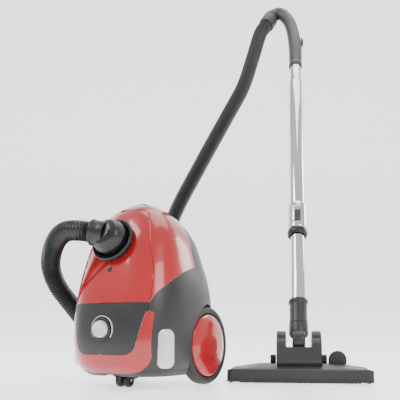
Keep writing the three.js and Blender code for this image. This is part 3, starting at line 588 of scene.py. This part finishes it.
def make_lid():
    lid = make_shell("lid_shell", "red_gloss", "lid", shield_dress)
    hole = rod(38, -30, 40, SOCKET_FRAME)
    eye = rod(4.9, -30, 30, basis(placed(BODY_FRAME, 0, EYE_Y, EYE_Z), SOCKET_AXIS, [1, 0, 0]))
    latch = block(-14, 14, -130, -88, SEAM_Z - 1, SEAM_Z + 11)
    carve(lid, [lid_zone(GAP)], "INTERSECT")
    carve(lid, [hole, eye, latch])
    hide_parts("lid")
    barrel = turned("lid_barrel", [(0, -20), (3, -20), (3, 20), (0, 20)], side_frame(0, HINGE_Y, HINGE_Z),
                    "red_gloss", "lid", 32)
    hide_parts("lid")


def make_top_cover():
    cover = make_shell("top_cover_shell", "red_gloss", "root")
    carve(cover, [saddle_zone(GAP)], "INTERSECT")
    carve(cover, [prism(rounded(34, 22, 14, 10), 335, 400, "top", shifted(0, 8)),
                  rod(3.5, -20.5, 20.5, side_frame(0, HINGE_Y, HINGE_Z))])
    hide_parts("top_cover")
    tray = slab("handle_tray", rounded(35.5, 23.5, 15, 10), 331.5, 334.5, shifted(0, 8), "dark_plastic",
                "root", 0.4)
    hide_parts("top_cover")


def make_casing():
    casing = make_shell("casing_shell", "dark_plastic", "root")
    cups = []
    for side in (1, -1):
        m = side_frame(side * CUP_X, AXLE_Y, WHEEL_RADIUS, (side, 0, 0))
        cups.append(rod(82, -1, 40, m, 120))
    keep = block(-200, 200, -200, 200, PLATE_TOP + GAP, 400)
    carve(casing, [keep], "INTERSECT")
    cuts = [lid_zone(0), saddle_zone(0), prism(trim_outline(GAP), -140, -40, "front")]
    cuts += [prism(panel_outline(GAP), -150, -60, "front")]
    cuts += [pedal_block(s, PEDAL_HALF[0] + GAP, PEDAL_HALF[1] + GAP, -30, 20) for s in (1, -1)]
    cuts += [block(-40, 40, 90, 200, 110, 200)] + cups
    cuts += [rod(9, 60, 200, side_frame(60, 0, 70, (0, 1, 0), (1, 0, 0)))]
    carve(casing, cuts)
    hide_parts("casing")
    for side, name in ((1, "right"), (-1, "left")):
        m = side_frame(side * CUP_X, AXLE_Y, WHEEL_RADIUS, (side, 0, 0))
        cup = turned(f"wheel_cup_{name}", [(7, -3.6), (84.5, -3.6), (84.5, 14), (82.2, 14), (82.2, -1.2),
                                           (7, -1.2)],
                     m, "dark_plastic", "root", 120, 0.6)
        body = body_block()
        carve(cup, [body], "INTERSECT")
        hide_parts("casing")
    for side, name in ((1, "right"), (-1, "left")):
        well = slab(f"pedal_well_{name}", rounded(20, 39, 16, 10), -19, -15.4, pedal_frame(side),
                    "dark_plastic", "root", 0.4)
        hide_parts("casing")


def make_trim_and_panel():
    trim = make_shell("front_trim_shell", "red_gloss", "root")
    carve(trim, [prism(trim_outline(0), -140, -40, "front")], "INTERSECT")
    carve(trim, [pedal_block(s, PEDAL_HALF[0] + 4, PEDAL_HALF[1] + 4, -30, 20) for s in (1, -1)])
    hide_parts("front_trim")
    panel = make_shell("control_panel_shell", "dark_plastic", "root")
    carve(panel, [prism(panel_outline(-GAP), -150, -60, "front")], "INTERSECT")
    carve(panel, [prism(trim_outline(GAP), -140, -40, "front")])
    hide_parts("control_panel")


def make_latch():
    latch = make_shell("lid_latch_face", "red_gloss", "latch")
    carve(latch, [block(-13.6, 13.6, -130, -102, SEAM_Z + GAP, SEAM_Z + 10.6)], "INTERSECT")
    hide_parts("lid_latch")


def make_body():
    make_lid()
    make_top_cover()
    make_casing()
    make_trim_and_panel()
    make_latch()


def shifted(x, y):
    m = BODY_FRAME.copy()
    m[:3, 3] = placed(BODY_FRAME, x, y, 0)
    return m


def body_block():
    points = to_world(body_grid(0.2, 88, 60), BODY_FRAME)
    return surface("cutter", points, "mark", None, wrap=True, caps=True)


def panel_outline(grow):
    """The dark panel behind the trim's arms, closed at the lid's seam."""
    g = grow
    right = [(84 + g, SEAM_Z - 0.8 + min(g, 0)), (81 + g, 131), (69 + g, 76), (50, 50)]
    return right + [(-x, z) for x, z in right[::-1]]


# ---- controls, running gear and socket ----
def make_knob():
    back = basis(placed(BODY_FRAME, 0, KNOB_Y, KNOB_Z), [0, -1, 0], [1, 0, 0])
    ring = turned("knob_ring_face", [(16.6, 0), (21, 0), (20.4, 2.2), (18, 3), (16.6, 2.6)], back,
                  "black_plastic", "root")
    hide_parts("knob_ring")
    knob = turned("power_knob_dial", [(0, -10), (6, -10), (6, 0.8), (16, 0.8), (15.6, 5), (14.4, 9),
                                      (12, 9.4),
                                      (10.5, 8.6), (0, 8.2)], back, "silver_plastic", "knob", radius=1.2)
    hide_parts("power_knob")
    pointer = slab("knob_pointer", [(-0.7, 9), (0.7, 9), (0.7, 14), (-0.7, 14)], 8.4, 9.6, back, "mark",
                   "knob", 0.2)
    # The power scale: a thin arc that widens clockwise, printed as a raised film.
    a = np.radians(np.linspace(-128, 128, 60))
    thick = np.linspace(0.5, 1.5, 60)
    inner = np.column_stack([23 * np.sin(a), 23 * np.cos(a)])
    outer = np.column_stack([(23 + thick) * np.sin(a), (23 + thick) * np.cos(a)])
    scale = slab("power_scale", np.vstack([inner, outer[::-1]]), -2, 0.35, back, "mark", "root", 0)


def make_pedals():
    for side, name in ((1, "power_pedal"), (-1, "rewind_pedal")):
        m = pedal_frame(side)
        cap = turned_pad(f"{name}_cap", PEDAL_HALF, 13, m, "silver_plastic", name)
        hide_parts(name)


def make_lens():
    m = basis(placed(BODY_FRAME, 0, EYE_Y, EYE_Z), SOCKET_AXIS, [1, 0, 0])
    lens = turned("indicator_lens", [(0, 2), (4.6, 2), (4.6, 6.4), (3.6, 7), (0, 5.6)], m,
                  "black_plastic", "lid", 48)
    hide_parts("bag_full_indicator")


def make_carry_handle():
    grip = make_shell("carry_handle_bridge", "dark_plastic", "handle")
    solid = body_block()
    solid.data.materials[0] = MATERIALS["dark_plastic"]
    grip.data = solid.data.copy()
    bpy.data.objects.remove(solid)
    carve(grip, [prism(rounded(32, 9, 8, 8), 335.4, 400, "top", shifted(0, 7))], "INTERSECT")
    carve(grip, [rod(11, -24, 24, side_frame(0, 7, 335))])
    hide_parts("carry_handle")


def make_controls():
    make_knob()
    make_pedals()
    make_lens()
    make_carry_handle()


def turned_pad(name, half, radius, m, material, body):
    """A pedal: rounded outline whose rings rise in a soft step to an inner raised face."""
    profile = [(0, -8), (0, 0), (0.5, 1.2), (1.4, 2), (4.6, 2), (5.4, 2.3), (6.2, 3.4), (7.2, 4), (10, 4.3)]
    rings = []
    for inset, height in profile:
        flat = np.array(rounded(half[0] - inset, half[1] - inset, max(radius - inset, 2.5), 12))
        rings.append(np.column_stack([flat, np.full(len(flat), height), np.ones(len(flat))]))
    points = (np.stack(rings) @ m.T)[..., :3]
    pad = surface(name, points, material, body, wrap=True, caps=True, angle=50)
    mend(pad, 50)
    return pad


def make_wheels():
    for side, name in ((1, "right"), (-1, "left")):
        m = side_frame(side * TYRE_X, AXLE_Y, WHEEL_RADIUS, (side, 0, 0))

        def tread(r, z, a):
            lug = 0.5 + 0.5 * np.sign(np.sin(a * 72))
            return -0.7 * lug * (r > 75.5) * (z > 6) * (z < 19)

        tyre = turned(f"wheel_{name}_tyre", [(6.3, 0), (70, 0), (75, 2.5), (77, 7), (77, 19),
                                             (75.6, 23.5), (72, 26),
                                             (67, 26), (64, 25), (62, 20), (6.3, 20)], m, "tyre",
                                             f"wheel_{name}", 288, 2.0)
        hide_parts(f"wheel_{name}")
        cap = turned(f"hub_{name}_cover", [(0, 21), (61.5, 21), (61.5, 25.2), (58, 27.4), (44, 30.6),
                                           (22, 32.6), (0, 33.2)],
                     m, "red_gloss", f"wheel_{name}", 128, 2.5)
        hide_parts(f"hub_cover_{name}")


def make_socket():
    m = SOCKET_FRAME.copy()
    ring = turned("socket_ring", [(33.4, -12), (37.6, -12), (37.6, 0), (41.5, 2), (43, 8), (41.6, 10.4),
                                  (40, 10), (37, 9),
                                  (33.4, 6)],
                  m, "black_plastic", "lid", 128, 1.5)
    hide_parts("hose_socket")
    # Swivel elbow: a domed drum with a collar, and a short arm out to the hose's left.
    dome = turned("elbow_dome", [(27.4, 3), (31.5, 3), (31.5, 14), (33, 15), (33, 21), (31.5, 22),
                                 (30, 29), (25.5, 36),
                                 (16, 40.5), (0, 42), (0, 39), (15, 37.5), (23, 33), (27.4, 27)], m,
                                 "black_plastic", "lid", 96, 2)
    aim = np.array([-0.94, 0.05, 0.34]) / np.linalg.norm([-0.94, 0.05, 0.34])
    spot = (m @ np.array([0, 0, 25, 1.0]))[:3]
    world_aim = m[:3, :3] @ aim
    arm_frame = basis(spot, world_aim, m[:3, 2])
    cut = rod(19.4, 6, 60, arm_frame)
    carve(dome, [cut])
    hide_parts("hose_elbow")
    arm = turned("elbow_arm", [(19.6, 14), (23, 14), (23, 24), (24.2, 25), (24.2, 29), (23, 30),
                               (19.6, 30)], arm_frame,
                 "black_plastic", "lid", 96, 0.8)
    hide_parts("hose_elbow")
    root = turned("elbow_root", [(19.6, 2), (23.6, 2), (23, 15), (19.6, 15)], arm_frame, "black_plastic",
                  "lid", 96, 0.8)
    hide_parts("hose_elbow")
    tab = slab("elbow_release_tab", rounded(4.5, 7, 1.5, 5), 0, 2.4,
               basis((m @ np.array([21, -6, 38, 1.0]))[:3], m[:3, :3] @ np.array([0.55, -0.1, 0.83]),
                     m[:3, 1]),
               "black_plastic", "lid", 0.6)
    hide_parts("hose_elbow")


def make_caster():
    for side, name in ((1, "right"), (-1, "left")):
        at = side * 9
        m = side_frame(at, -51, 13, (side, 0, 0))
        wheel = turned(f"caster_{name}_tyre", [(2.6, -5), (10, -5), (13, -3.4), (13, 3.4), (10, 5),
                                               (8, 5), (7, 3.6), (2.6, 3.6)],
                       m, "tyre", "caster_wheels", 72, 1.2)
        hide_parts(f"caster_wheel_{name}")


def make_vent():
    """Exhaust grille: curved slats that follow the tail."""
    grille = make_shell("exhaust_grille_face", "black_plastic", "root")
    carve(grille, [block(-38, 38, 90, 200, 112, 198)], "INTERSECT")
    slots = [prism(rounded(32, 1.9, 1.8, 5), 90, 200, "top", slot_frame(z))
             for z in np.arange(119, 194, 7.4)]
    carve(grille, slots)
    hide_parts("exhaust_grille")


def slot_frame(z):
    return basis(placed(BODY_FRAME, 0, 0, z), [0, 1, 0], [1, 0, 0])


# ---- wand ----
def make_tubes():
    w = WAND_FRAME
    upper = turned("upper_tube_skin", [(16.3, 280), (17.5, 280), (17.5, 762), (17.1, 763), (16.3, 763)],
                   w, "chrome", "root", 128, 0.4)
    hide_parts("upper_tube")
    spigot = turned("wand_spigot_skin", [(13.2, 743), (14.8, 743), (14.8, 824.4), (13.2, 824.4)], w,
                    "chrome", "root", 96, 0.4)
    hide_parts("wand_spigot")
    lower = turned("lower_tube_skin", [(14.8, 50), (16, 50), (16, 532), (14.8, 532)], w, "chrome",
                   "lower_wand", 128, 0.4)
    notches = [prism(rounded(4, 7, 2.2, 6), -22, -15.4, "top",
                     basis(placed(w, -1, 0, 251 - i * 26), w[:3, 1] / MM, w[:3, 0] / MM)) for i in range(4)]
    carve(lower, notches)
    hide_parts("lower_tube")


def make_lock():
    w = WAND_FRAME
    sleeve = turned("lock_sleeve_skin", [(17.9, 284), (21, 284), (22, 288), (22, 300), (21.4, 301),
                                         (22, 302), (22, 344),
                                         (21.4, 350), (19.6, 356), (17.9, 357)], w, "chrome", "root",
                                         128, 1.6)
    carve(sleeve, [block(-8, 8, -30, -19.4, 298, 342, w)])
    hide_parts("lock_sleeve")
    face = basis(placed(w, 0, -20, 313.5), -w[:3, 1] / MM, w[:3, 0] / MM)
    button = slab("lock_button_cap", rounded(7.4, 14.4, 2.5, 6), 0, 5, face, "grey_plastic",
                  "lock_button", 1.4)
    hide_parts("lock_button")
    for i in range(4):
        rib = slab(f"lock_button_rib_{i + 1}", rounded(5.2, 0.8, 0.7, 4), 4.6, 5.7,
                   shifted_in(face, 0, -7 + i * 4.6),
                   "grey_plastic", "lock_button", 0)
        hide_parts("lock_button")
    ring = turned("lock_ring_skin", [(17.9, 268), (21, 268), (23, 271), (23, 279), (21.6, 283.4),
                                     (17.9, 283.5)], w,
                  "black_plastic", "root", 96, 1.4)
    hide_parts("lock_ring")


def make_neck():
    w = WAND_FRAME
    neck = turned("neck_tube_skin", [(16.4, 40), (19.6, 40), (19, 46), (18.6, 55), (18.6, 87),
                                     (19.4, 89), (21, 91), (21, 96),
                                     (20, 97), (16.4, 97)], w, "dark_plastic", "lower_wand", 96, 1)
    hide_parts("neck_tube")


def make_wand():
    make_tubes()
    make_lock()
    make_neck()


def shifted_in(m, x, y, z=0.0):
    out = m.copy()
    out[:3, 3] = placed(m, x, y, z)
    return out


HANDLE_LINE = [[0, 825], [0, 895], [-5, 955], [-15, 1005], [-32, 1040], [-50, 1050], [-66, 1036]]


def make_grip():
    """Bent grip: an open tube swept along the hook, fuller where the palm sits."""
    line, _ = smooth_line([placed(WAND_FRAME, x, 0, z) for x, z in HANDLE_LINE], 120)
    s = np.linspace(0, 1, 120)
    radius = 0.0163 + 0.0016 * np.exp(-((s - 0.3) / 0.22) ** 2)
    radius = radius + 0.0012 * (s < 0.035) + 0.0008 * step_up((s - 0.9) / 0.1)
    outer = sweep(line, radius, 72, WAND_FRAME[:3, 1] / MM)
    inner = sweep(line, 0.0149, 72, WAND_FRAME[:3, 1] / MM)
    both = np.concatenate([outer, inner[::-1], outer[:1]], 0)
    grip = surface("handle_grip_skin", both, "grey_plastic", "root", wrap=True)
    mend(grip, 50)
    carve(grip, [block(13, 30, -6.8, 6.8, 906, 961, WAND_FRAME)])
    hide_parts("handle_grip")


def make_hose_collar():
    end = basis(placed(WAND_FRAME, *(COLLAR_TOP + COLLAR_AIM)), WAND_FRAME[:3, :3] @ COLLAR_AIM,
                WAND_FRAME[:3, 1])
    spigot = turned("handle_ring", [(15, -5), (18.4, -5), (20, -3.4), (20, 4.8), (18.6, 6), (18.4, 30),
                                    (15, 30)], end,
                    "black_plastic", "root", 96, 0.8)
    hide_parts("handle_grip")
    collar = turned("hose_collar_skin", [(19.4, 6.5), (21, 6.5), (22, 9), (22, 31), (21.4, 35.6),
                                         (20.5, 37), (19.4, 37)], end,
                    "grey_plastic", "hose_collar", 144, 0.8,
                    wave=lambda r, z, a: -0.5 * (np.sin(a * 24) > 0.3) * (r > 21.5) * (z > 12) * (z < 30))
    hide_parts("hose_collar")


def make_slider():
    face = basis(placed(WAND_FRAME, 15.6, 0, 921), WAND_FRAME[:3, 0] / MM, WAND_FRAME[:3, 1] / MM)
    slider = slab("suction_slider_cap", rounded(6.4, 13.8, 2.5, 6), 0, 4, face, "black_plastic",
                  "slider", 1)
    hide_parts("suction_slider")
    thumb = slab("suction_slider_thumb", rounded(5.6, 8.5, 2.5, 6), 3.8, 6.4, face, "black_plastic",
                 "slider", 1)
    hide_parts("suction_slider")


def make_handle():
    make_grip()
    make_hose_collar()
    make_slider()


# ---- floor head ----
BALL_Z = 84
ROLLER_X, ROLLER_Y, ROLLER_Z = 53.5, 20, 43
BRUSH_PEDAL_X = 80.5


def make_head_base(h):
    half = 145
    rows = []
    # Shell sections across the width: [y, z] outlines that sink towards each end.
    for x in np.concatenate([np.linspace(-half, -half + 14, 8), np.linspace(-half + 20, half - 20, 40),
                             np.linspace(half - 14, half, 8)]):
        edge = (half - abs(x))
        lift = step_up(edge / 10)
        crown = 24 + 6 * lift + 8 * step_up(edge / 75)
        lip = 27 + 2.5 * lift
        tuck = 3.5 * (1 - lift)
        side = [(-68 + 0.4 * tuck, 3), (-66 + tuck, lip - 2), (-62.5 + tuck, lip), (-40, crown - 2.5),
                (-18, crown),
                (20, crown), (34 - tuck, crown - 5), (38 - tuck, crown - 11), (38, 3)]
        line, _ = smooth_line([[0, a, b] for a, b in side[1:-1]], 30)
        ring = [(side[0][0], side[0][1])] + [tuple(p[1:]) for p in line] + [side[-1]]
        rows.append([[x, a, b] for a, b in ring])
    points = to_world(np.array(rows, float), h)
    base = surface("head_base_shell", points, "dark_plastic", "head", wrap=True, caps=True)
    mend(base)
    tools = [block(-133, 133, -62, 34, -5, 22, h), block(-47, 47, -47, 60, 20, 90, h),
             block(60.9, 100, -6, 50, 21, 60, h),
             block(-61, -46, 5, 60, 21, 60, h), block(46, 61, 5, 60, 21, 60, h)]
    carve(base, tools)
    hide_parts("head_base")
    strip = slab("head_front_strip", [(-144.2, 4), (144.2, 4), (144.2, 8), (-144.2, 8)], 67.9, 69.2,
                 basis(placed(h, 0, 0, 0), -h[:3, 1] / MM, h[:3, 0] / MM), "black_plastic", "head", 0.3)
    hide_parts("head_base")
    for side in (-1, 1):
        skid = slab(f"head_skid_{'left' if side < 0 else 'right'}", rounded(3, 36, 2.5, 6), 0, 7,
                    shifted_in(h, side * 138.5, -14),
                    "black_plastic", "head", 0.8)
        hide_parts("head_base")


def make_hood(h):
    hood_side = [(-37, 29), (-44, 42), (-41, 64), (-34, 80), (-22, 92), (28, 92), (36, 77), (36, 27)]
    side_m = basis(placed(h, 0, 0, 0), h[:3, 0] / MM, h[:3, 1] / MM)
    hood = slab("head_hood_shell", eased(hood_side, 7, 5), -46, 46, side_m, "dark_plastic", "head", 0)
    carve(hood, [prism([(-27, 20), (-27, 60), (-31, 73), (-60, 73), (-60, 120), (60, 120), (60, 20)],
                       -26.2, 26.2, "side", h)])
    round_edges(hood, 2.4 * MM, 4, 50)
    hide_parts("head_hood")
    for side in (-1, 1):
        name = "left" if side < 0 else "right"
        m = basis(placed(h, side * 26.4, 0, BALL_Z), side * h[:3, 0] / MM, h[:3, 1] / MM)
        cheek = turned(f"hood_cheek_{name}", [(0, 0), (22, 0), (22, 17.5), (20, 19.4), (12, 19.4),
                                              (10.6, 18), (0, 18)], m,
                       "dark_plastic", "head", 96, 1)
        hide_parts("head_hood")
        m = basis(placed(h, side * ROLLER_X, ROLLER_Y, ROLLER_Z), h[:3, 0] / MM, h[:3, 1] / MM)
        roller = turned(f"head_roller_{name}_tyre", [(3.4, -5.9), (11.6, -5.9), (13, -4.8), (13, 4.8),
                                                     (11.6, 5.9), (3.4, 5.9)], m,
                        "black_plastic", f"roller_{name}", 180, 0.6,
                        wave=lambda r, z, a: -1.0 * (np.sin(a * 22) > 0) * (r > 12) * (np.abs(z) < 5.2))
        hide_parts(f"head_roller_{name}")


def make_brush_pedal(h):
    m = basis(placed(h, BRUSH_PEDAL_X, 6, 0), -h[:3, 1] / MM, h[:3, 0] / MM)
    a = np.linspace(0, math.pi, 26)
    paddle = [(-18.5, 36), (18.5, 36)] + [(18.5 * math.cos(t), 46 + 18.5 * math.sin(t)) for t in a]
    pedal = slab("brush_pedal_paddle", paddle, -4, 4, m, "dark_plastic", "brush_pedal", 1.6)
    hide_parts("brush_pedal")
    mark = slab("brush_pedal_rib", rounded(9, 0.8, 0.7, 5), 3.8, 4.6, shifted_in(m, 0, 50),
                "black_plastic", "brush_pedal", 0)
    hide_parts("brush_pedal")


def make_head():
    h = HEAD_FRAME
    make_head_base(h)
    make_hood(h)
    make_brush_pedal(h)
    make_elbow(h)
    for y, name in ((-56.5, "front"), (12.5, "rear")):
        make_bristles(name, y)


def make_elbow(h):
    m = basis(placed(h, 0, 0, BALL_Z), h[:3, 0] / MM, h[:3, 1] / MM)
    ball = turned("neck_ball", [(14, -13), (22, -13), (24, -9), (24.6, 0), (24, 9), (22, 13), (14, 13)],
                  m, "dark_plastic",
                  "elbow", 96, 2)
    carve(ball, [rod(14, 4, 60, WAND_FRAME)])
    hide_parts("neck_elbow")
    cuff = turned("neck_cuff", [(14.2, 14), (20, 14), (20, 38.4), (19, 39.4), (14.2, 39.4)], WAND_FRAME,
                  "dark_plastic",
                  "elbow", 96, 1)
    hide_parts("neck_elbow")


def make_bristles(name, y):
    """Tufts in two staggered rows: each is a tapered six-sided bundle, splayed by a fixed seed."""
    rng = np.random.default_rng(7)
    h = HEAD_FRAME
    verts, faces = [], []
    a = np.linspace(0, 2 * math.pi, 6, endpoint=False)
    for row in range(2):
        for x in np.arange(-120, 121, 2.6) + row * 1.3:
            lean = rng.normal(0, 0.25, 2)
            start = len(verts)
            for z, r, t in ((15.5, 0.55, 0), (7, 0.6, 0.4), (0.5, 0.8, 1)):
                for k in a:
                    dy = np.clip((row - 0.5) * 1.5 + r * 0.6 * math.sin(k) + lean[1] * t, -1.7, 1.7)
                    verts.append(placed(h, x + r * math.cos(k) + lean[0] * t, y + dy, z))
            for i in range(2):
                for k in range(6):
                    n = (k + 1) % 6
                    faces.append((start + i * 6 + k, start + i * 6 + n, start + i * 6 + 6 + n,
                                  start + i * 6 + 6 + k))
            faces.append(tuple(start + k for k in range(6)))
            faces.append(tuple(start + 12 + k for k in range(6))[::-1])
    tufts = make_object(f"bristles_{name}", verts, faces, "bristle", "brushes")
    mend(tufts)
    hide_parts(f"brush_strip_{name}")


def dress_nodes():
    slots = {s["node"]: s["material_slot"] for s in frame["record"]["subparts"]}
    for node, obj in frame["nodes"].items():
        obj.data.materials.clear()
        obj.data.materials.append(MATERIALS[slots[node]])


make_camera()
make_hose()
make_lights()
make_floor()
dress_nodes()
make_body()
make_controls()
make_wheels()
make_socket()
make_caster()
make_vent()
make_wand()
make_handle()
make_head()
